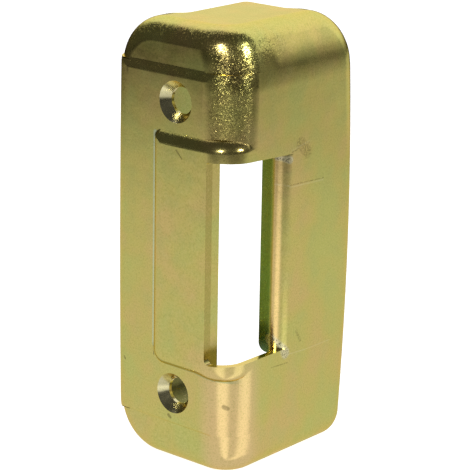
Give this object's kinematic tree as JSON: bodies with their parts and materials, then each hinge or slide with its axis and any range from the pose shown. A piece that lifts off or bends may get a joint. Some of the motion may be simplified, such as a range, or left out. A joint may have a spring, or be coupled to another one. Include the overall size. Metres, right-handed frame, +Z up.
{
  "type": "door strike plate",
  "caption": "Pressed steel strike plate that wraps the outside corner of a door frame, with a bolt opening through its corner and countersunk screw holes.",
  "frame": {"origin": "on the resting plane, under the middle of the plate's box", "axes": "+Z up along the plate's length, -Y out of the face with the screw holes, +X out of the bolt face"},
  "size_m": [0.0352, 0.0454, 0.1],
  "materials": {
    "zinc_passivated_steel": "pressed sheet, electroplated zinc with a yellow iridescent passivation"
  },
  "bodies": {
    "root": {"strike_plate": "zinc_passivated_steel"}
  },
  "joints": []
}
